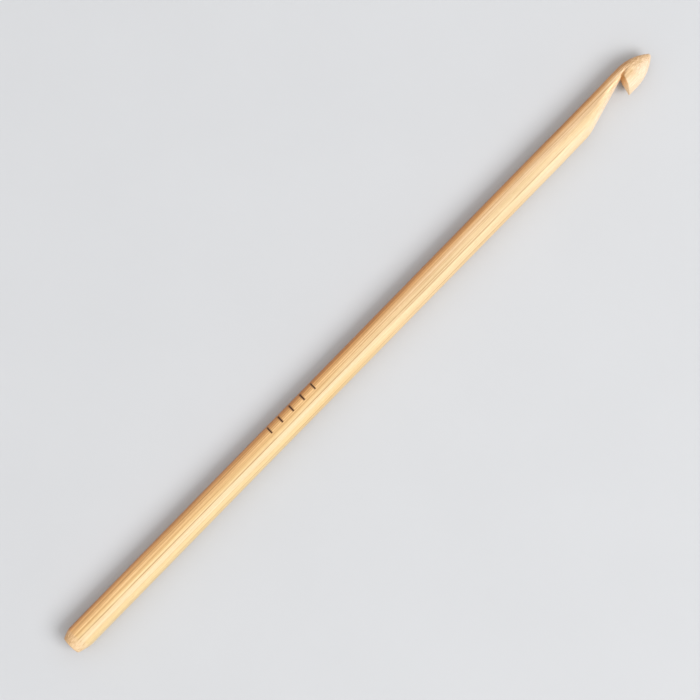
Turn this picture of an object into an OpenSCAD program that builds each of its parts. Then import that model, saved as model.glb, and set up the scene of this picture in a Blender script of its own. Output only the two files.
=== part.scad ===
// Crochet hook with an in-line head, carved from one rod of bamboo.
// The hook lies along X, butt at -X and tip at +X, resting on z = 0, with its lip towards -Y.
// Every shape below is worked out upright, with the butt face at z = 0 and the tip on +Z,
// and lay_down() turns it into place at the end. Lengths are in millimetres.

/* [Shaft] */
// Overall length, from the butt face to the tip
hook_length = 150; // [120:1:180]
// Diameter of the shaft and of the head, which is the hook's size
shaft_d = 5; // [4:0.25:7]

/* [Butt] */
// Length of the sanded bevel behind the butt face
butt_bevel = 2.2; // [1:0.1:4]
// Diameter of the butt face, as a share of the shaft's diameter
butt_share = 0.7; // [0.5:0.05:0.9]

/* [Head] */
// Radius of the arc that draws the head in to the tip
ogive_r = 9; // [7:0.25:14]
// Radius of the blunt tip
tip_r = 0.5; // [0.3:0.05:0.8]
// Distance from the tip back to the point of the lip
lip_back = 7.9; // [7.5:0.1:10]
// How far the lip's inner face leans back over the throat, in degrees
lip_lean = 15; // [5:1:20]
// Half-angle of the cone that rounds the lip's inner face, in degrees
lip_cone = 42; // [38:1:46]
// Depth of the throat below the lip's point, as a share of the shaft's diameter
throat_share = 0.63; // [0.5:0.01:0.66]

/* [Neck] */
// Slope of the neck's cut, from the throat back to the shaft, in degrees
neck_slope = 15.8; // [12:0.1:20]
// Radius of the neck's rounded underside, as a share of the shaft's radius
neck_share = 1.45; // [1.1:0.05:1.6]
// How far the neck is sanded down below the shaft's surface
neck_relief = 0.05; // [0.02:0.01:0.15]
// Distance from the tip back to where the sanding begins
relief_back = 26; // [24:1:32]

/* [Size mark] */
// Number of tally bars, one for each millimetre of the nominal size
bar_count = 5; // [1:1:8]
// Distance from the butt face to the middle of the first bar
bar_start = 53.2; // [40:0.1:60]
// Spacing of the bars along the shaft
bar_pitch = 2.8; // [1:0.1:4]
// Width of one bar along the shaft
bar_width = 0.2; // [0.1:0.05:0.5]
// Length of one bar around the shaft
bar_arc = 1.8; // [1:0.1:2.5]
// Depth of the groove that holds a bar
bar_depth = 0.05; // [0.03:0.01:0.2]
// Turn of the bars from the top of the shaft, away from the lip, in degrees
bar_turn = 44; // [0:1:90]

/* [Hidden] */
$fn = 96;

shaft_r = shaft_d / 2;
butt_r = shaft_r * butt_share;

// The head's arc is tangent to the shaft, and the tip's arc is tangent to the head's
ogive_inset = ogive_r - shaft_r;
tip_centre = sqrt(pow(ogive_r - tip_r, 2) - pow(ogive_inset, 2));
ogive_length = tip_centre + tip_r;
ogive_start = hook_length - ogive_length;
tip_tangent = ogive_r * tip_centre / (ogive_r - tip_r);

// Throat corner, where the lip's inner face meets the neck, on the hook's middle plane
throat_depth = shaft_d * throat_share;
lip_z = hook_length - lip_back;
throat_y = throat_depth - shaft_r;
throat_z = face_z(throat_y);
neck_r = shaft_r * neck_share;
// Where the neck's cut runs out through the shaft's surface
cut_end_z = throat_z - throat_depth / tan(neck_slope);

// The sanded stretch: it eases in from the shaft, and eases out just behind the lip
relief_z = hook_length - relief_back;
relief_end_z = lip_z - 0.1 * shaft_d;
relief_ease = 1.2 * shaft_d;
relief_rise = 0.3 * shaft_d;
relief_r = shaft_r - neck_relief;

// The cone of the lip's inner face has its point this far up the face from the lip
cone_point = 1.4 * shaft_d;
// The cone is long enough to pass the shaft's far side
cone_length = 2.5 * shaft_d;
// How far ahead of the lip's inner face the notch is cleared, inside the cone's reach
face_reach = 0.4 * shaft_d;
// The neck's round bar is long enough to pass both ends of the cut
core_length = 8 * shaft_d;
// Cuts run this far past the surfaces that they go through
past = 1;

bar_angle = bar_arc / shaft_r * 180 / PI;

// Lays an upright shape along X, on z = 0, centred on its length
module lay_down() {
    translate([-hook_length / 2, 0, shaft_r])
        rotate([0, 90, 0])
            children();
}

// Half outline of the rod: bevelled butt, straight shaft, sanded neck, pointed head, blunt tip
module half_outline() {
    polygon([
        [0, 0],
        [butt_r, 0],
        [shaft_r, butt_bevel],
        [shaft_r, relief_z],
        [relief_r, relief_z + relief_ease],
        [relief_r, relief_end_z - relief_rise],
        [shaft_r, relief_end_z],
        [shaft_r, ogive_start],
        [0, ogive_start],
    ]);
    translate([0, ogive_start])
        intersection() {
            translate([-ogive_inset, 0])
                circle(ogive_r);
            square([shaft_r, tip_tangent]);
        }
    // The tip's arc starts inside the head and comes out of it at the tangent
    translate([0, ogive_start])
        intersection() {
            translate([0, tip_centre])
                circle(tip_r);
            translate([0, tip_centre - tip_r])
                square([tip_r, 2 * tip_r]);
        }
}

// Full-round rod, before its throat is cut
module rod() {
    rotate([0, 0, 180])
        rotate_extrude()
            half_outline();
}

// Height of the lip's inner face on the middle plane, at a distance y across the hook
function face_z(y) = lip_z + (y + shaft_r) * tan(lip_lean);

// Side view of what is cleared for the throat: Y across, Z along the hook
module notch_side() {
    side = shaft_r + past;
    polygon([
        [-side, cut_end_z - past],
        [side, cut_end_z - past],
        [side, face_z(side) + face_reach],
        [-side, face_z(-side) + face_reach],
    ]);
}

// Round bar whose underside is the neck's cut
module neck_core() {
    translate([0, throat_y, throat_z])
        rotate([-neck_slope, 0, 0])
            translate([0, neck_r, -core_length / 2])
                cylinder(r = neck_r, h = core_length);
}

// Cone that holds the head's material behind the lip's inner face, which is its lowest side
module lip_core() {
    translate([0, -shaft_r, lip_z])
        rotate([90 + lip_lean, 0, 0])
            translate([0, 0, -cone_point])
                rotate([-lip_cone, 0, 0])
                    cylinder(r1 = 0, r2 = cone_length * tan(lip_cone), h = cone_length);
}

// What is cut away to make the throat and the tapered neck
module notch() {
    difference() {
        rotate([90, 0, 90])
            translate([0, 0, -shaft_r - past])
                linear_extrude(2 * (shaft_r + past))
                    notch_side();
        neck_core();
        lip_core();
    }
}

// Space of bar i in the shaft's surface, standing proud of it by the given height
module bar_space(i, proud = 0) {
    translate([0, 0, bar_start + (i - 1) * bar_pitch - bar_width / 2])
        rotate([0, 0, 180 - bar_turn - bar_angle / 2])
            rotate_extrude(angle = bar_angle)
                translate([shaft_r - bar_depth, 0])
                    square([bar_depth + proud, bar_width]);
}

// The hook itself, in one piece
module hook_body() {
    color("#F1D3A0")
        lay_down()
            difference() {
                rod();
                notch();
                for (i = [1:bar_count])
                    bar_space(i, past);
            }
}

// One dark bar of the size mark, filling its groove flush with the shaft
module size_bar(i) {
    color("#4E311D")
        lay_down()
            bar_space(i);
}

hook_body();
for (i = [1:bar_count])
    size_bar(i);
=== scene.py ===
"""A bamboo crochet hook, lying on a pale floor, seen from straight above.

Lengths are in millimetres until a mesh is made, and then in metres. The hook lies along X with its
tip at +X and its lip towards -Y. Angles around the hook start at +Y and turn towards +Z.
"""

import math

import bpy
import numpy as np
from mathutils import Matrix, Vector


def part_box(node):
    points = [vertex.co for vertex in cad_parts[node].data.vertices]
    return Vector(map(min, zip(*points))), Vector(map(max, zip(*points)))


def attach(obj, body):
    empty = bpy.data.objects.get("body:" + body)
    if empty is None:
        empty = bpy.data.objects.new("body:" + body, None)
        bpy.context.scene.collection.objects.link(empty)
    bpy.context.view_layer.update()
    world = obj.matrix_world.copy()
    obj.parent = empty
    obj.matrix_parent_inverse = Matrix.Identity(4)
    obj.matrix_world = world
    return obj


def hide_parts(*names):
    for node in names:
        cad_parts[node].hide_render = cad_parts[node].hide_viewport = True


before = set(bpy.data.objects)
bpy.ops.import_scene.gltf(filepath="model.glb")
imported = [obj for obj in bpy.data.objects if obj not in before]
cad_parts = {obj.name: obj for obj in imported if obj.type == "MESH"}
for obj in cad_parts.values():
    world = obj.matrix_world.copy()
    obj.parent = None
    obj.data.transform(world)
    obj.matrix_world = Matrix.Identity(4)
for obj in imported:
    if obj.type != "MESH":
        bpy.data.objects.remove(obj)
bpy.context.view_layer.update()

# ---------------------------------------------------------------- sizes, from the frame

MM = 0.001
LOW, HIGH = (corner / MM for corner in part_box("hook_body"))
BUTT_X, TIP_X = LOW.x, HIGH.x
SHAFT_R = (HIGH.z - LOW.z) / 2
AXIS_Z = LOW.z + SHAFT_R

# Butt: a slightly crowned face, a rounded corner and a hand-sanded, uneven bevel
BUTT_R = 1.75
BUTT_CROWN = 0.12
BUTT_CORNER = 0.25
BEVEL_LENGTH = 2.6
BEVEL_UNEVEN = 0.45
BEVEL_CURVE = 1.4
BEVEL_END = BUTT_X + BEVEL_LENGTH + BEVEL_UNEVEN

# Head: an ogive that is tangent to the shaft and to the blunt tip
OGIVE_R = 9.0
TIP_R = 0.5
OGIVE_INSET = OGIVE_R - SHAFT_R
TIP_CENTRE = math.sqrt((OGIVE_R - TIP_R) ** 2 - OGIVE_INSET**2)
OGIVE_X = TIP_X - TIP_CENTRE - TIP_R

# Lip: its inner face has the first radius near its point and the second near the throat, and
# changes between two heights above the point
LIP_X = TIP_X - 7.9
LIP_LEAN = math.radians(15)
LIP_ROUND = (5.4, 1.4)
LIP_ROUND_FROM = (2.7, 4.6)

# Throat and neck: the cut's rounded underside flares into the head, and the neck is sanded thinner
THROAT_DEPTH = 3.15
THROAT_Y = THROAT_DEPTH - SHAFT_R
THROAT_X = LIP_X + THROAT_DEPTH * math.tan(LIP_LEAN)
NECK_SLOPE = math.radians(15.8)
NECK_R = 3.6
NECK_FLARE = 0.5
NECK_FLARE_FROM = (THROAT_X - 1.0, THROAT_X + 1.8)
NECK_RELIEF = 0.05
RELIEF_IN = (TIP_X - 26, TIP_X - 20)
RELIEF_OUT = (LIP_X - 2, LIP_X - 0.5)

# How softly the edges are sanded: where the neck's cut runs out, along its sides, around the lip's
# face, at its point and in the throat's corner
KNEE_SOFTNESS = 0.35
NECK_SOFTNESS = 0.9
FACE_SOFTNESS = 0.2
POINT_SOFTNESS = 0.12
THROAT_SOFTNESS = 0.22
# Where one turns into another: in Y up the lip, in Z out from the middle plane, and back from the tip
POINT_TO_FACE = (-2.2, -0.8)
KNEE_TO_SIDE = (0.6, 2.0)
FACE_TO_NECK = (7, 11)

# A line that stays inside the hook. It rises into the neck and comes down again towards the tip,
# each between two distances back from the tip.
SPINE_HEIGHT = 1.45
SPINE_RISE = (22, 9)
SPINE_FALL = (0, 6.5)

# Size mark: tally bars burnt into the shaft, turned from its top away from the lip
BARS = [name for name in sorted(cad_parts) if name.startswith("size_bar_")]
BAR_XS = [sum(corner.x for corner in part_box(name)) / 2 / MM for name in BARS]
BAR_PITCH = BAR_XS[1] - BAR_XS[0]
BAR_TURN = 44
BAR_ANGLE = math.radians(90 - BAR_TURN)
BAR_ARC = 1.8
BAR_HALF_TURN = BAR_ARC / 2 / SHAFT_R
BAR_WIDTH = 0.2
BAR_DEPTH = 0.05

# A bar's rough top is a little below the shaft's surface, and its underside is in the wood below
# its groove. Its width wavers by a share of itself, differently on each bar.
BAR_SUNK = 0.012
BAR_BEDDED = 0.01
BAR_ROUGHNESS = 0.004
BAR_UNEVEN = 0.05
BAR_WAVES = 5

# Half the thickness of a groove's sloping walls, along the shaft and around it
BAR_WALL = 0.012
BAR_END_WALL = 0.04

# Mesh density: points in a ring, rings in each stretch, the share of the face inside its first
# ring, and points along and around a bar. When the head's rings are shared out, a radian of corner
# counts for as much as CORNER_COST millimetres of length.
AROUND = 192
FACE_RINGS = 14
FACE_HUB = 0.06
CORNER_RINGS = 5
BEVEL_RINGS = 22
BEVEL_CROWDING = 1.4
SHAFT_RINGS = 60
HEAD_RINGS = 290
CORNER_COST = 0.45
BAR_POINTS = (9, 37)

# The head is traced in short steps, each brought back onto the surface
HEAD_FROM = TIP_X - 27
TRACE_STEP = 0.03
TRACE_STEPS = 1500
SLOPE_STEP = 1e-4


# ---------------------------------------------------------------- small helpers


def ease(low, high, value):
    """0 before low, 1 past high, smooth between them."""
    t = np.clip((value - low) / (high - low), 0, 1)
    return t * t * (3 - 2 * t)


def blend(a, b, share):
    """From a to b as the share goes from 0 to 1."""
    return a + (b - a) * share


def soft_max(a, b, softness):
    """The larger of two values, rounded where they are nearly equal."""
    near = np.maximum(softness - np.abs(a - b), 0) / softness
    return np.maximum(a, b) + near**2 * softness / 4


def soft_min(a, b, softness):
    """The smaller of two values, rounded where they are nearly equal."""
    return -soft_max(-a, -b, softness)


def angles_around():
    return np.arange(AROUND) * 2 * math.pi / AROUND


# ---------------------------------------------------------------- the hook's shape


def rod_radius(x):
    """Radius of the straight rod, slimmer where the neck is sanded."""
    relief = ease(*RELIEF_IN, x) * (1 - ease(*RELIEF_OUT, x))
    return SHAFT_R - NECK_RELIEF * relief


def rod_outside(x, y, z):
    """Distance outside the turned rod, negative inside it."""
    rho = np.hypot(y, z)
    ahead = np.maximum(x - OGIVE_X, 0)
    straight = rho - rod_radius(x)
    ogive = np.hypot(ahead, rho + OGIVE_INSET) - OGIVE_R
    tip = np.hypot(ahead - TIP_CENTRE, rho) - TIP_R
    past_tangent = ahead * OGIVE_INSET > (rho + OGIVE_INSET) * TIP_CENTRE
    return np.where(ahead > 0, np.where(past_tangent, tip, ogive), straight)


def neck_outside(x, y, z):
    """Distance below the neck's rounded cut, which flares where it runs into the head."""
    floor = THROAT_Y + (x - THROAT_X) * math.tan(NECK_SLOPE)
    radius = NECK_R * (1 + NECK_FLARE * ease(*NECK_FLARE_FROM, x))
    bulge = radius - np.sqrt(radius**2 - z**2)
    return (floor + bulge - y) * math.cos(NECK_SLOPE)


def lip_outside(x, y, z):
    """Distance out of the lip's inner face, which is rounded, and more tightly near the throat."""
    dx, dy = x - LIP_X, y + SHAFT_R
    up = dx * math.sin(LIP_LEAN) + dy * math.cos(LIP_LEAN)
    ahead = dx * math.cos(LIP_LEAN) - dy * math.sin(LIP_LEAN)
    radius = blend(*LIP_ROUND, ease(*LIP_ROUND_FROM, up))
    return z**2 / (2 * radius) + z**4 / (8 * radius**3) - ahead


def hook_outside(x, y, z):
    """Distance outside the hook's sanded surface, near enough, negative inside it."""
    lip_softness = blend(POINT_SOFTNESS, FACE_SOFTNESS, ease(*POINT_TO_FACE, y))
    neck_softness = blend(KNEE_SOFTNESS, NECK_SOFTNESS, ease(*KNEE_TO_SIDE, np.abs(z)))
    softness = blend(lip_softness, neck_softness, ease(*FACE_TO_NECK, TIP_X - x))
    cut = soft_min(neck_outside(x, y, z), lip_outside(x, y, z), THROAT_SOFTNESS)
    return soft_max(rod_outside(x, y, z), cut, softness)


def spine_y(x):
    """Height in Y of the line that stays inside the hook."""
    back = TIP_X - x
    return SPINE_HEIGHT * np.minimum(ease(*SPINE_RISE, back), ease(*SPINE_FALL, back))


def head_profiles():
    """Outline of the carved end at each angle around the spine, as x and distance from it."""
    angle = angles_around()

    def outside(x, rho):
        return hook_outside(x, spine_y(x) + rho * np.cos(angle), rho * np.sin(angle))

    def slope(x, rho):
        d = SLOPE_STEP
        by_x = (outside(x + d, rho) - outside(x - d, rho)) / (2 * d)
        by_rho = (outside(x, rho + d) - outside(x, rho - d)) / (2 * d)
        return by_x, by_rho

    x = np.full(AROUND, HEAD_FROM)
    rho = rod_radius(x)
    path = [(x, rho)]
    for _ in range(TRACE_STEPS):
        by_x, by_rho = slope(x, rho)
        size = np.hypot(by_x, by_rho)
        x = x + TRACE_STEP * by_rho / size
        rho = rho - TRACE_STEP * by_x / size
        for _ in range(2):
            by_x, by_rho = slope(x, rho)
            miss = outside(x, rho) / (by_x**2 + by_rho**2)
            x, rho = x - miss * by_x, rho - miss * by_rho
        path.append((x, rho))
    return np.array(path)


def head_rings():
    """The carved end as rings, which share out every profile and are closest at its corners."""
    path = head_profiles()
    angle = angles_around()
    rings = np.zeros((HEAD_RINGS, AROUND, 3))
    for i in range(AROUND):
        x, rho = path[:, 0, i], path[:, 1, i]
        end = np.argmax(rho < TRACE_STEP / 2)
        x, rho = np.append(x[:end], TIP_X), np.append(rho[:end], 0)
        dx, dr = np.diff(x), np.diff(rho)
        turn = np.abs(np.diff(np.unwrap(np.arctan2(dr, dx)), prepend=0.0))
        cost = np.append(0, np.cumsum(np.hypot(dx, dr) + CORNER_COST * turn))
        at = np.linspace(0, cost[-1], HEAD_RINGS + 1)[:-1]
        ring_x, ring_rho = np.interp(at, cost, x), np.interp(at, cost, rho)
        rings[:, i, 0] = ring_x
        rings[:, i, 1] = spine_y(ring_x) + ring_rho * math.cos(angle[i])
        rings[:, i, 2] = ring_rho * math.sin(angle[i])
    return rings


def butt_rings():
    """The butt as rings of points, from just off the middle of its face to the end of its bevel."""
    bevel = BEVEL_LENGTH - BEVEL_UNEVEN * np.cos(angles_around())
    face_r = BUTT_R - BUTT_CORNER
    bevel_from = BUTT_CROWN + BUTT_CORNER
    bevel_from_r = bevel_radius(bevel_from, bevel)
    rings = []
    for share in np.linspace(FACE_HUB, 1, FACE_RINGS):
        rings.append((BUTT_CROWN * share**2, face_r * share))
    for turn in np.linspace(0, math.pi / 2, CORNER_RINGS + 2)[1:-1]:
        back = BUTT_CROWN + BUTT_CORNER * (1 - math.cos(turn))
        rings.append((back, face_r + (bevel_from_r - face_r) * math.sin(turn)))
    for share in np.linspace(0, 1, BEVEL_RINGS) ** BEVEL_CROWDING:
        back = bevel_from + (bevel - bevel_from) * share
        rings.append((back, bevel_radius(back, bevel)))
    return [ring_points(BUTT_X + back, rho) for back, rho in rings]


def bevel_radius(back, bevel):
    """Radius of the bevel at a distance behind the butt's end."""
    return SHAFT_R - (SHAFT_R - BUTT_R) * np.clip(1 - back / bevel, 0, 1) ** BEVEL_CURVE


def ring_points(x, rho):
    """A ring around the axis at x, which may differ from angle to angle, as may its radius."""
    angle = angles_around()
    return np.stack([x + 0 * angle, rho * np.cos(angle), rho * np.sin(angle)], axis=1)


def groove(x):
    """Depth at each angle of the burnt grooves that hold the size mark's bars."""
    nearest = min(abs(x - bar_x) for bar_x in BAR_XS)
    turn = (angles_around() - BAR_ANGLE + math.pi) % (2 * math.pi) - math.pi
    along = 1 - ease(BAR_WIDTH / 2 - BAR_WALL, BAR_WIDTH / 2 + BAR_WALL, nearest)
    ends = (BAR_ARC / 2 - BAR_END_WALL, BAR_ARC / 2 + BAR_END_WALL)
    around = 1 - ease(*ends, np.abs(turn) * SHAFT_R)
    return BAR_DEPTH * along * around


def shaft_rings():
    """The straight shaft as rings of points, close together where the bars' grooves are."""
    places = set(np.linspace(BEVEL_END + 0.3, HEAD_FROM - 1, SHAFT_RINGS))
    wall = (BAR_WIDTH / 2 - BAR_WALL, BAR_WIDTH / 2, BAR_WIDTH / 2 + BAR_WALL, BAR_WIDTH)
    offsets = [sign * offset for offset in wall for sign in (-1, 1)] + [0]
    for bar_x in BAR_XS:
        places = {x for x in places if abs(x - bar_x) > 2 * BAR_WIDTH}
        places |= {bar_x + offset for offset in offsets}
    return [ring_points(x, rod_radius(x) - groove(x)) for x in sorted(places)]


def lathe_mesh(name, rings, first, last):
    """A closed mesh from rings of equal size, with a single point at each end."""
    count = len(rings)
    points = np.concatenate([[first], np.concatenate(rings), [last]])
    points[:, 2] += AXIS_Z
    index = 1 + np.arange(count * AROUND).reshape(count, AROUND)
    after = np.roll(index, -1, axis=1)
    quads = np.stack([index[:-1], after[:-1], after[1:], index[1:]], axis=-1).reshape(-1, 4)
    faces = quads.tolist()
    faces += [(0, b, a) for a, b in zip(index[0], after[0])]
    tip = count * AROUND + 1
    faces += [(tip, a, b) for a, b in zip(index[-1], after[-1])]
    mesh = bpy.data.meshes.new(name)
    mesh.from_pydata((points * MM).tolist(), [], faces)
    mesh.update()
    mesh.shade_smooth()
    return mesh


def add_piece(name, mesh, material, replaced):
    """Puts a piece in the scene, standing for the CAD node that it replaces."""
    piece = bpy.data.objects.new(name, mesh)
    bpy.context.scene.collection.objects.link(piece)
    piece.data.materials.append(material)
    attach(piece, "root")
    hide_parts(replaced)


# ---------------------------------------------------------------- materials


def srgb(red, green, blue):
    """A colour given in sRGB from 0 to 255, as the shader's linear colour."""
    values = []
    for value in (red, green, blue):
        value /= 255
        values.append(value / 12.92 if value <= 0.04045 else ((value + 0.055) / 1.055) ** 2.4)
    return (*values, 1.0)


class Graph:
    """A material under construction. Most of its methods add nodes and return an output."""

    def __init__(self, name):
        self.material = bpy.data.materials.new(name)
        self.material.use_nodes = True
        self.tree = self.material.node_tree
        self.shader = self.tree.nodes["Principled BSDF"]

    def add(self, kind, inputs=(), **settings):
        node = self.tree.nodes.new(kind)
        for key, value in settings.items():
            setattr(node, key, value)
        for key, value in dict(inputs).items():
            self.put(node.inputs[key], value)
        return node

    def put(self, socket, value):
        if isinstance(value, bpy.types.NodeSocket):
            self.tree.links.new(value, socket)
        else:
            socket.default_value = value

    def set(self, **values):
        """Sets the shader's inputs, which are named with underscores for spaces."""
        for name, value in values.items():
            self.put(self.shader.inputs[name.replace("_", " ")], value)

    def math(self, operation, *values):
        return self.add("ShaderNodeMath", enumerate(values), operation=operation).outputs[0]

    def ease(self, value, low, high, to_low=0.0, to_high=1.0):
        """Goes smoothly from to_low at low to to_high at high."""
        span = {"From Min": low, "From Max": high, "To Min": to_low, "To Max": to_high}
        inputs = {"Value": value, **span}
        node = self.add("ShaderNodeMapRange", inputs, interpolation_type="SMOOTHSTEP")
        return node.outputs["Result"]

    def product(self, first, *others):
        for other in others:
            first = self.math("MULTIPLY", first, other)
        return first

    def either_way(self, share, amount):
        """From -amount to amount as the share goes from 0 to 1."""
        return self.math("MULTIPLY_ADD", share, 2 * amount, -amount)

    def window(self, value, rise, fall):
        """1 between two places, easing in over the rise and out over the fall."""
        return self.product(self.ease(value, *rise), self.ease(value, *fall, 1.0, 0.0))

    def vector(self, x, y, z):
        return self.add("ShaderNodeCombineXYZ", {"X": x, "Y": y, "Z": z}).outputs[0]

    def split(self, vector):
        return self.add("ShaderNodeSeparateXYZ", {"Vector": vector}).outputs

    def noise(self, vector, scale=1.0, detail=2.0, roughness=0.5):
        inputs = {"Vector": vector, "Scale": scale, "Detail": detail, "Roughness": roughness}
        return self.add("ShaderNodeTexNoise", inputs, normalize=True).outputs["Fac"]

    def mix(self, factor, a, b, blend="MIX"):
        node = self.add("ShaderNodeMix", data_type="RGBA", blend_type=blend)
        self.put(node.inputs[0], factor)
        self.put(node.inputs[6], a)
        self.put(node.inputs[7], b)
        return node.outputs[2]

    def ramp(self, factor, stops):
        """A colour for each place from 0 to 1, blended between them."""
        node = self.add("ShaderNodeValToRGB", {"Fac": factor})
        elements = node.color_ramp.elements
        while len(elements) < len(stops):
            elements.new(0.5)
        for element, (place, colour) in zip(elements, stops):
            element.position = place
            element.color = colour
        return node.outputs["Color"]


# Colour across the rod, at places from -Y to +Y as shares of its diameter: along the shaft towards
# the butt and towards the head, and where the fibres are cut obliquely
BUTT_TONES = [
    (0.02, srgb(208, 184, 142)),
    (0.12, srgb(224, 198, 148)),
    (0.20, srgb(222, 196, 148)),
    (0.30, srgb(228, 203, 164)),
    (0.42, srgb(226, 200, 158)),
    (0.52, srgb(226, 194, 142)),
    (0.60, srgb(222, 182, 126)),
    (0.68, srgb(236, 194, 138)),
    (0.80, srgb(233, 184, 127)),
    (0.86, srgb(238, 182, 120)),
    (0.91, srgb(218, 156, 96)),
    (0.99, srgb(190, 128, 76)),
]
HEAD_TONES = [
    (0.02, srgb(222, 196, 156)),
    (0.12, srgb(224, 200, 162)),
    (0.20, srgb(226, 204, 170)),
    (0.30, srgb(224, 202, 160)),
    (0.42, srgb(218, 190, 146)),
    (0.52, srgb(226, 198, 154)),
    (0.62, srgb(228, 194, 152)),
    (0.72, srgb(232, 196, 154)),
    (0.77, srgb(243, 204, 158)),
    (0.84, srgb(232, 180, 124)),
    (0.91, srgb(222, 162, 102)),
    (0.99, srgb(190, 130, 80)),
]
# Where the fibres are cut, the place in these tones also moves with the way the surface faces, which
# paints shading: paler facing -Y, darker facing +Y
CUT_TONES_AND_SHADE = [
    (0.05, srgb(238, 216, 192)),
    (0.38, srgb(234, 213, 188)),
    (0.54, srgb(230, 202, 166)),
    (0.68, srgb(234, 198, 156)),
    (0.82, srgb(228, 182, 132)),
    (0.95, srgb(203, 152, 106)),
]

# The lip's inner face, from its point up into the throat: end grain, with painted shade that darkens
# it towards the throat
THROAT_TONES_AND_SHADE = [
    (0.10, srgb(250, 222, 184)),
    (0.35, srgb(244, 204, 156)),
    (0.60, srgb(228, 178, 124)),
    (0.75, srgb(200, 152, 98)),
    (0.95, srgb(190, 140, 86)),
]

# Noises drawn out along the fibres: cycles per millimetre across them, millimetres along them,
# detail and roughness. The first two vary the tone and the dark lines, and the others are grain.
NOISES = {
    "tone": (0.8, 25, 2.0, 0.5),
    "line": (1.5, 6, 2.0, 0.5),
    "streak": (2.6, 30, 2.0, 0.5),
    "band": (4.6, 45, 2.0, 0.5),
    "fibre": (8.0, 16, 2.0, 0.5),
    "thread": (26.0, 5, 1.0, 0.5),
    "mottle": (5.0, 0.8, 3.0, 0.6),
}

# What each grain multiplies the wood's colour by, where it is darkest and where it is lightest
GRAIN_TINTS = {
    "streak": ((0.85, 0.78, 0.69), (1.13, 1.19, 1.27)),
    "band": ((0.85, 0.79, 0.71), (1.12, 1.18, 1.24)),
    "fibre": ((0.86, 0.82, 0.74), (1.09, 1.10, 1.12)),
    "thread": ((0.92, 0.90, 0.86), (1.05, 1.06, 1.08)),
    "mottle": ((0.90, 0.86, 0.80), (1.06, 1.08, 1.12)),
}

# Tints that warm the rod's sides around its middle, and the head just ahead of the lip's rim
MIDDLE_TINT = (0.98, 0.93, 0.85, 1)
RIM_TINT = (0.95, 0.89, 0.80, 1)

# Wood that isn't plain grain, and a painted highlight and painted shade by the throat
SQUARE_CUT = srgb(222, 182, 140)
# A painted highlight above the neck's cut, partly the wood's own paler tone there
CUT_EDGE_HIGHLIGHT = srgb(254, 219, 176)
# Painted shade in the throat's corner
THROAT_SHADE = srgb(196, 148, 94)
BUNDLE = srgb(160, 108, 66)
FLECK = srgb(158, 108, 62)
DARK_LINE = srgb(166, 124, 74)
SCORCH = srgb(120, 76, 44)

# Where the wood's look changes: each pair eases from its first place to its second, and two pairs
# are where a patch fades in and out
BUTT_TO_HEAD_X = (-25, 25)
MIDDLE_X = ((-30, -8), (34, 48))
MIDDLE_SIDES = (0.7, 1.3)
HEAD_X = (TIP_X - 15, TIP_X - 7)
HEAD_SHIFT = -0.25
ROUNDED_X = (TIP_X - 9, TIP_X - 6)
BEVEL_X = (BUTT_X + 5, BUTT_X + 15)
PALE_CUT_X = (0, 50)
SQUARE_CUT_X = (-30, 30)
BUNDLE_X = (BUTT_X + 4, BUTT_X + 2.2)
BUNDLE_Y = (-1.5, 2.0)
CUT_EDGE_X = ((TIP_X - 15, TIP_X - 11), (TIP_X - 7, TIP_X - 5))
CUT_EDGE_Y = ((0.5, 0.9), (1.6, 2.0))
CUT_EDGE_ABOVE = (0.95, 1.8)
RIM_X = ((TIP_X - 6.8, TIP_X - 6), (TIP_X - 4.9, TIP_X - 3.9))
RIM_Y = ((-1.5, -0.7), (0.7, 1.1))
LIP_FACE_X = (TIP_X - 15, TIP_X - 12)
LIP_FACE_Y = (-2.4, 1.6)
THROAT_SHADE_X = THROAT_X + 0.9
THROAT_SHADE_Y = THROAT_Y + 0.4
THROAT_SHADE_Z = (1.2, 1.8)
THROAT_SHADE_NARROWING = (1.6, 3.0)
UPPER_SIDE_Z = (0.0, 0.5)

# Where the two coarse grains and the two fine ones come up to their full strength, across the rod
COARSE_Y = (-1.4, 1.6)
FINE_Y = (-0.9, 0.9)

# Fibre bundles and the flecks between them: how many to a millimetre, and where one's edge fades,
# as shares of that spacing. Flecks are long, as a millimetre along the fibres counts for little.
BUNDLE_DENSITY = 2.4
BUNDLE_EDGE = (0.06, 0.26)
FLECK_DENSITY = 3.2
FLECK_EDGE = (0.03, 0.15)
FLECK_SHORTENING = 0.045

# How far things stray from straight, after the length over which they do so where it is given
TONE_WANDER = 0.15
BUNDLE_DRIFT = (40, 0.25)
BUNDLE_RAGGED = 0.08
LINE_DRIFT = (30, 0.03)

# Scorched wood: where it fades out from a bar's middle, in widths of a bar, how far it reaches past
# the first and last bar along X and past their ends in Y, and how ragged its edge is
SCORCH_EDGE = (0.1, 1.6)
SCORCH_PAST_X = 0.3
SCORCH_PAST_Y = 0.12
SCORCH_RAGGED = 0.1

# Fibre bundles that reach the surface as long dark lines: where across the shaft, how much that
# drifts over a millimetre, where the line fades in and out along X, its width and its strength
LINES = [
    (1.66, 0.0, (-90, -80), (2, 20), 0.16, 0.50),
    (-0.30, -0.002, (-90, -80), (14, 34), 0.15, 0.75),
    (0.60, 0.0, (-90, -80), (-24, -4), 0.20, 0.22),
    (0.27, 0.0, (-16, 0), (30, 44), 0.16, 0.22),
    (-0.62, -0.004, (4, 14), (54, 62), 0.24, 0.62),
    (-1.32, 0.0, (-90, -80), (-28, -10), 0.18, 0.25),
    (-2.02, 0.0, (-60, -40), (30, 48), 0.16, 0.45),
    (0.62, 0.0, (40, 54), (61, 64), 0.24, 0.45),
]


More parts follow.
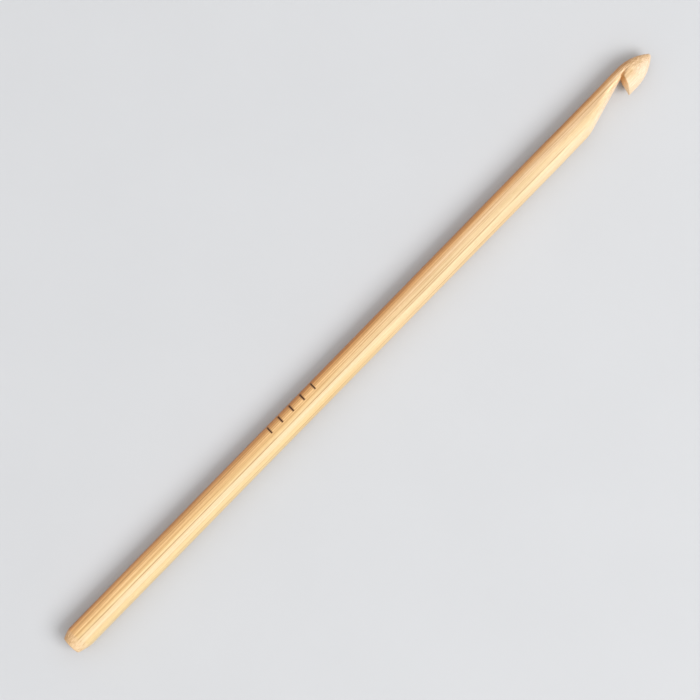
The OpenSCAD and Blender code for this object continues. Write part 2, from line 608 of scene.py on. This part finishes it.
class Wood(Graph):
    """Bamboo under construction: places in millimetres, with its fibres along X."""

    def __init__(self):
        super().__init__("bamboo")
        coordinates = self.add("ShaderNodeTexCoord").outputs
        metres_x, metres_y, metres_z = self.split(coordinates["Object"])
        self.x = self.math("MULTIPLY", metres_x, 1 / MM)
        self.y = self.math("MULTIPLY", metres_y, 1 / MM)
        self.z = self.math("MULTIPLY_ADD", metres_z, 1 / MM, -AXIS_Z)
        self.normal_x, self.normal_y, _ = self.split(coordinates["Normal"])
        self.grains = {name: self.grain(*shape) for name, shape in NOISES.items()}
        # How obliquely the fibres are cut, from 0 along them, and how much they look cut
        self.oblique = self.math("ABSOLUTE", self.normal_x)
        rounded = self.ease(self.x, *ROUNDED_X, 0.0, 0.75)
        self.cut = self.math("MAXIMUM", self.ease(self.oblique, 0.04, 0.3), rounded)

    def grain(self, scale, period, detail, roughness):
        """Noise drawn out along the fibres, with a scale across them in cycles per millimetre."""
        along = self.math("MULTIPLY", self.x, 1 / period)
        across_y = self.math("MULTIPLY", self.y, scale)
        across_z = self.math("MULTIPLY", self.z, scale)
        return self.noise(self.vector(along, across_y, across_z), 1.0, detail, roughness)

    def drift(self, seed, period, amount):
        """A slow drift along the fibres, up to the given amount either way."""
        along = self.math("MULTIPLY", self.x, 1 / period)
        return self.either_way(self.noise(self.vector(along, seed, 0.0), 1.0, 1.0), amount)

    def voronoi(self, vector, scale, dimensions):
        inputs = {"Vector": vector, "Scale": scale}
        node = self.add("ShaderNodeTexVoronoi", inputs, voronoi_dimensions=dimensions)
        return node.outputs


def paint_rod(g):
    """Tone across the rod, brown on its back and pale towards the lip, and the level it goes by."""
    level = g.math("ADD", g.y, g.either_way(g.grains["tone"], TONE_WANDER))
    level = g.math("ADD", level, g.ease(g.x, *HEAD_X, 0.0, HEAD_SHIFT))
    share = g.math("MULTIPLY_ADD", level, 1 / (2 * SHAFT_R), 0.5)
    towards_head = g.ease(g.x, *BUTT_TO_HEAD_X)
    colour = g.mix(towards_head, g.ramp(share, BUTT_TONES), g.ramp(share, HEAD_TONES))
    sides = g.ease(g.math("ABSOLUTE", g.y), *MIDDLE_SIDES)
    middle = g.product(g.window(g.x, *MIDDLE_X), sides)
    return level, g.mix(middle, colour, MIDDLE_TINT, "MULTIPLY")


def paint_cuts(g, colour, level):
    """Paler where the fibres are cut obliquely, with painted shade on the side facing away from the
    light, and brown again where they are cut square.
    """
    # Painted shading: paler where the surface faces -Y, towards the light, and darker where it faces
    # +Y
    tone_and_painted_shade = g.math("MULTIPLY_ADD", g.normal_y, 0.25, g.math("MULTIPLY_ADD", level, 0.12, 0.5))
    # The painted shading is weaker on the butt's bevel, which has much the same tone all round
    bevel_tone = 0.66
    contrast = g.ease(g.x, *BEVEL_X, 0.2, 1.0)
    tone_and_painted_shade = g.math("SUBTRACT", tone_and_painted_shade, bevel_tone)
    tone_and_painted_shade = g.math("MULTIPLY_ADD", tone_and_painted_shade, contrast, bevel_tone)
    paleness = g.product(g.cut, g.ease(g.x, *PALE_CUT_X, 0.6, 0.85))
    colour = g.mix(paleness, colour, g.ramp(tone_and_painted_shade, CUT_TONES_AND_SHADE))
    square = g.product(g.ease(g.oblique, 0.15, 0.75), g.ease(g.x, *SQUARE_CUT_X, 0.7, 0.4))
    return g.mix(square, colour, SQUARE_CUT)


def paint_cut_edge_highlight(g, colour):
    """A painted highlight on the upper surface: a pale band just above the neck's cut, partly the
    wood's own paler tone.
    """
    slope = math.tan(NECK_SLOPE)
    cut_y = g.math("MULTIPLY_ADD", g.x, slope, THROAT_Y - THROAT_X * slope)
    near = g.ease(g.math("SUBTRACT", g.y, cut_y), *CUT_EDGE_ABOVE, 1.0, 0.0)
    band = g.product(g.window(g.x, *CUT_EDGE_X), g.window(g.y, *CUT_EDGE_Y), near, 0.8)
    return g.mix(band, colour, CUT_EDGE_HIGHLIGHT)


def paint_lip(g, colour):
    """A warm patch ahead of the lip's rim, and its inner face of end grain, with painted shade that
    deepens from its point up into the throat.
    """
    rim = g.product(g.window(g.x, *RIM_X), g.window(g.y, *RIM_Y))
    colour = g.mix(rim, colour, RIM_TINT, "MULTIPLY")
    face = g.product(g.ease(g.normal_x, -0.3, -0.65), g.ease(g.x, *LIP_FACE_X))
    return g.mix(face, colour, g.ramp(g.ease(g.y, *LIP_FACE_Y), THROAT_TONES_AND_SHADE))


def paint_throat_shade(g, colour):
    """Painted shade in an oval on top, just past the throat's corner, where the head shades it."""
    along = g.math("MULTIPLY", g.math("SUBTRACT", g.x, THROAT_SHADE_X), THROAT_SHADE_NARROWING[0])
    across = g.math("MULTIPLY", g.math("SUBTRACT", g.y, THROAT_SHADE_Y), THROAT_SHADE_NARROWING[1])
    away = g.math("MULTIPLY_ADD", along, along, g.math("MULTIPLY", across, across))
    painted_shade = g.product(g.ease(away, 0.1, 1.2, 0.75, 0.0), g.ease(g.z, *THROAT_SHADE_Z))
    return g.mix(painted_shade, colour, THROAT_SHADE)


def paint_grain(g, colour):
    """Every grain, lighter or darker than the tone. All but the mottle are stronger on the back."""
    coarse = g.ease(g.y, *COARSE_Y, 0.15, 1.0)
    fine = g.ease(g.y, *FINE_Y, 0.6, 1.0)
    speckled = g.ease(g.cut, 0.0, 1.0, 0.4, 1.0)
    amounts = {"streak": coarse, "band": coarse, "fibre": fine, "thread": fine, "mottle": speckled}
    for name, (dark, light) in GRAIN_TINTS.items():
        tint = g.ramp(g.grains[name], [(0.3, (*dark, 1)), (0.7, (*light, 1))])
        colour = g.mix(amounts[name], colour, tint, "MULTIPLY")
    return colour


def paint_bundles(g, colour):
    """Bundles that run through the whole rod: lines on its sides, specks where they are cut."""
    ragged = g.either_way(g.grains["mottle"], BUNDLE_RAGGED)
    across_y = g.math("ADD", g.math("ADD", g.y, g.drift(1.3, *BUNDLE_DRIFT)), ragged)
    across_z = g.math("ADD", g.math("ADD", g.z, g.drift(7.9, *BUNDLE_DRIFT)), ragged)
    cells = g.voronoi(g.vector(across_y, across_z, 0.0), BUNDLE_DENSITY, "2D")
    kind, size, _ = g.split(cells["Color"])
    away = g.math("DIVIDE", cells["Distance"], g.ease(size, 0.0, 1.0, 0.5, 1.2))
    bundle = g.product(g.ease(away, *BUNDLE_EDGE, 1.0, 0.0), g.ease(kind, 0.1, 0.9, 0.15, 1.0))
    on_back = g.ease(g.y, *BUNDLE_Y, 0.30, 1.0)
    on_butt = g.ease(g.x, *BUNDLE_X)
    where_cut = g.ease(g.cut, 0.0, 1.0, 0.30, 0.9)
    bundle = g.product(bundle, g.math("MAXIMUM", on_back, on_butt), where_cut)
    colour = g.mix(bundle, colour, BUNDLE)

    # Short dark fibres between them
    place = g.vector(g.math("MULTIPLY", g.x, FLECK_SHORTENING), across_y, across_z)
    away = g.voronoi(place, FLECK_DENSITY, "3D")["Distance"]
    fleck = g.product(g.ease(away, *FLECK_EDGE, 0.4, 0.0), g.math("SUBTRACT", 1.0, g.cut))
    return g.mix(fleck, colour, FLECK)


def paint_lines(g, colour):
    """The long dark lines, each around its own place on the shaft's upper surface."""
    wander = g.drift(4.1, *LINE_DRIFT)
    uneven = g.ease(g.grains["line"], 0.3, 0.6, 0.6, 1.1)
    for middle, slant, fade_in, fade_out, width, strength in LINES:
        line_y = g.math("ADD", g.math("MULTIPLY_ADD", g.x, slant, middle), wander)
        away_y = g.math("SUBTRACT", g.y, line_y)
        away_z = g.math("SUBTRACT", g.z, math.sqrt(SHAFT_R**2 - middle**2))
        squares = g.math("MULTIPLY_ADD", away_y, away_y, g.math("MULTIPLY", away_z, away_z))
        line = g.ease(g.math("SQRT", squares), width * 0.1, width, strength, 0.0)
        line = g.product(line, uneven, g.window(g.x, fade_in, fade_out))
        colour = g.mix(line, colour, DARK_LINE)
    return colour


def paint_scorch(g, colour):
    """Scorched wood around each burnt bar, on the upper side of the shaft."""
    from_bar = g.math("PINGPONG", g.math("SUBTRACT", g.x, BAR_XS[0]), BAR_PITCH / 2)
    from_bar = g.math("MULTIPLY_ADD", g.grains["mottle"], -SCORCH_RAGGED, from_bar)
    edge = [BAR_WIDTH * share for share in SCORCH_EDGE]
    scorch = g.product(g.ease(from_bar, *edge, 0.9, 0.0), g.ease(g.z, *UPPER_SIDE_Z))
    ends = [SHAFT_R * math.cos(BAR_ANGLE + side * BAR_HALF_TURN) for side in (1, -1)]
    along = (g.x, BAR_XS[0], BAR_XS[-1], SCORCH_PAST_X)
    across = (g.y, *ends, SCORCH_PAST_Y)
    for place, low, high, margin in (along, across):
        scorch = g.product(scorch, g.window(place, (low - margin, low), (high, high + margin)))
    return g.mix(scorch, colour, SCORCH)


def bamboo():
    """Sanded bamboo under a thin satin coat."""
    g = Wood()
    level, colour = paint_rod(g)
    colour = paint_cuts(g, colour, level)
    for paint in (
        paint_cut_edge_highlight,
        paint_lip,
        paint_throat_shade,
        paint_grain,
        paint_bundles,
        paint_lines,
        paint_scorch,
    ):
        colour = paint(g, colour)
    fibre = g.grains["fibre"]
    bump = g.add("ShaderNodeBump", {"Height": fibre, "Strength": 0.3, "Distance": 0.03 * MM})
    g.set(Base_Color=colour, Roughness=g.ease(fibre, 0.2, 0.8, 0.42, 0.56))
    g.set(Coat_Weight=0.06, Coat_Roughness=0.3, IOR=1.5, Specular_IOR_Level=0.3)
    g.set(Normal=bump.outputs["Normal"])
    return g.material


def burnt():
    """Charred wood, dark brown and matt."""
    g = Graph("burnt_mark")
    grain = g.noise(g.add("ShaderNodeTexCoord").outputs["Object"], 9 / MM, 3.0, 0.6)
    colour = g.ramp(grain, [(0.3, srgb(52, 28, 16)), (0.7, srgb(96, 56, 32))])
    bump = g.add("ShaderNodeBump", {"Height": grain, "Strength": 0.5, "Distance": 0.01 * MM})
    g.set(Base_Color=colour, Roughness=g.ease(grain, 0.2, 0.8, 0.6, 0.8), Specular_IOR_Level=0.2)
    g.set(Normal=bump.outputs["Normal"])
    return g.material


def pale_floor():
    """Light grey, with faint clouds about 25 mm across."""
    g = Graph("pale_floor")
    clouds = g.noise(g.add("ShaderNodeTexCoord").outputs["Object"], 0.04 / MM, 3.0)
    colour = g.mix(clouds, srgb(192, 193, 195), srgb(196, 197, 199))
    g.set(Base_Color=colour, Roughness=0.9)
    return g.material


# ---------------------------------------------------------------- the pieces


def make_hook():
    rings = butt_rings() + shaft_rings() + list(head_rings())
    mesh = lathe_mesh("bamboo_hook", rings, (BUTT_X, 0, 0), (TIP_X, 0, 0))
    add_piece("bamboo_hook", mesh, bamboo(), "hook_body")


def bar_mesh(name, middle):
    """The burnt filling of one groove: a thin curved plate, a little below the shaft's surface."""
    random = np.random.default_rng(int(abs(middle) * 10))
    along, around = BAR_POINTS
    u, v = np.meshgrid(np.linspace(-1, 1, along), np.linspace(-1, 1, around), indexing="ij")
    x = middle + u * (BAR_WIDTH / 2) * (1 + BAR_UNEVEN * np.sin(BAR_WAVES * v + middle))
    angle = BAR_ANGLE + v * BAR_HALF_TURN
    upper_r = SHAFT_R - BAR_SUNK + random.normal(0, BAR_ROUGHNESS, (along, around))
    lower_r = SHAFT_R - BAR_DEPTH - BAR_BEDDED
    points = []
    for rho in (upper_r, lower_r):
        layer = np.stack([x, rho * np.cos(angle), AXIS_Z + rho * np.sin(angle)], axis=-1)
        points.append(layer.reshape(-1, 3))

    top = np.arange(along * around).reshape(along, around)
    under = top + along * around
    faces = []
    for i in range(along - 1):
        for j in range(around - 1):
            faces.append((top[i, j], top[i, j + 1], top[i + 1, j + 1], top[i + 1, j]))
            faces.append((under[i, j], under[i + 1, j], under[i + 1, j + 1], under[i, j + 1]))
    rim = [(i, 0) for i in range(along)]
    rim += [(along - 1, j) for j in range(1, around)]
    rim += [(i, around - 1) for i in range(along - 2, -1, -1)]
    rim += [(0, j) for j in range(around - 2, 0, -1)]
    for a, b in zip(rim, rim[1:] + rim[:1]):
        faces.append((top[a], top[b], under[b], under[a]))
    mesh = bpy.data.meshes.new(name)
    mesh.from_pydata((np.concatenate(points) * MM).tolist(), [], faces)
    mesh.update()
    return mesh


def make_mark():
    material = burnt()
    for number, (node, middle) in enumerate(zip(BARS, BAR_XS), 1):
        name = f"burnt_bar_{number}"
        add_piece(name, bar_mesh(name, middle), material, node)


# ---------------------------------------------------------------- floor, light and camera


def make_floor():
    """A flat round floor that sweeps up into a low wall all round, in metres."""
    flat, sweep, wall = 0.9, 0.6, 0.2
    steps, around = 24, 96
    profile = [(flat * share, 0.0) for share in (0.25, 0.5, 0.75)]
    for turn in np.linspace(0, math.pi / 2, steps):
        profile.append((flat + sweep * math.sin(turn), sweep * (1 - math.cos(turn))))
    profile.append((flat + sweep, sweep + wall))
    points = [(0.0, 0.0, 0.0)]
    for radius, height in profile:
        for turn in np.arange(around) * 2 * math.pi / around:
            points.append((radius * math.cos(turn), radius * math.sin(turn), height))
    faces = [(0, 1 + i, 1 + (i + 1) % around) for i in range(around)]
    for ring in range(len(profile) - 1):
        for i in range(around):
            a, b = 1 + ring * around + i, 1 + ring * around + (i + 1) % around
            faces.append((a, a + around, b + around, b))
    mesh = bpy.data.meshes.new("floor")
    mesh.from_pydata(points, [], faces)
    mesh.shade_smooth()
    mesh.materials.append(pale_floor())
    floor = bpy.data.objects.new("floor", mesh)
    bpy.context.scene.collection.objects.link(floor)


def light_scene():
    """One large soft light from the lip's side, high up, in an even white surround."""
    data = bpy.data.lights.new("key", "AREA")
    data.energy = 14.3
    data.size = 0.8
    light = bpy.data.objects.new("key", data)
    light.location = (0.28, -0.87, 1.06)
    light.rotation_euler = (-light.location).to_track_quat("-Z", "Y").to_euler()
    bpy.context.scene.collection.objects.link(light)

    world = bpy.data.worlds.new("world")
    bpy.context.scene.world = world
    world.use_nodes = True
    background = world.node_tree.nodes["Background"]
    background.inputs["Color"].default_value = (1, 1, 1, 1)
    background.inputs["Strength"].default_value = 0.93


def make_camera():
    """Looks straight down, turned so that the hook runs from lower left to upper right."""
    lens, sensor = 135.0, 36.0
    view_width = 126.84
    view_x, view_y = -1.26, 1.39
    turn = math.radians(-45.61)
    data = bpy.data.cameras.new("camera")
    data.lens = lens
    data.sensor_width = sensor
    data.clip_start = 0.01
    camera = bpy.data.objects.new("camera", data)
    height = AXIS_Z + view_width * lens / sensor
    camera.location = (view_x * MM, view_y * MM, height * MM)
    camera.rotation_euler = (0, 0, turn)
    bpy.context.scene.collection.objects.link(camera)
    bpy.context.scene.camera = camera


make_camera()
make_hook()
make_mark()
make_floor()
light_scene()
bpy.context.scene.view_settings.view_transform = "Standard"
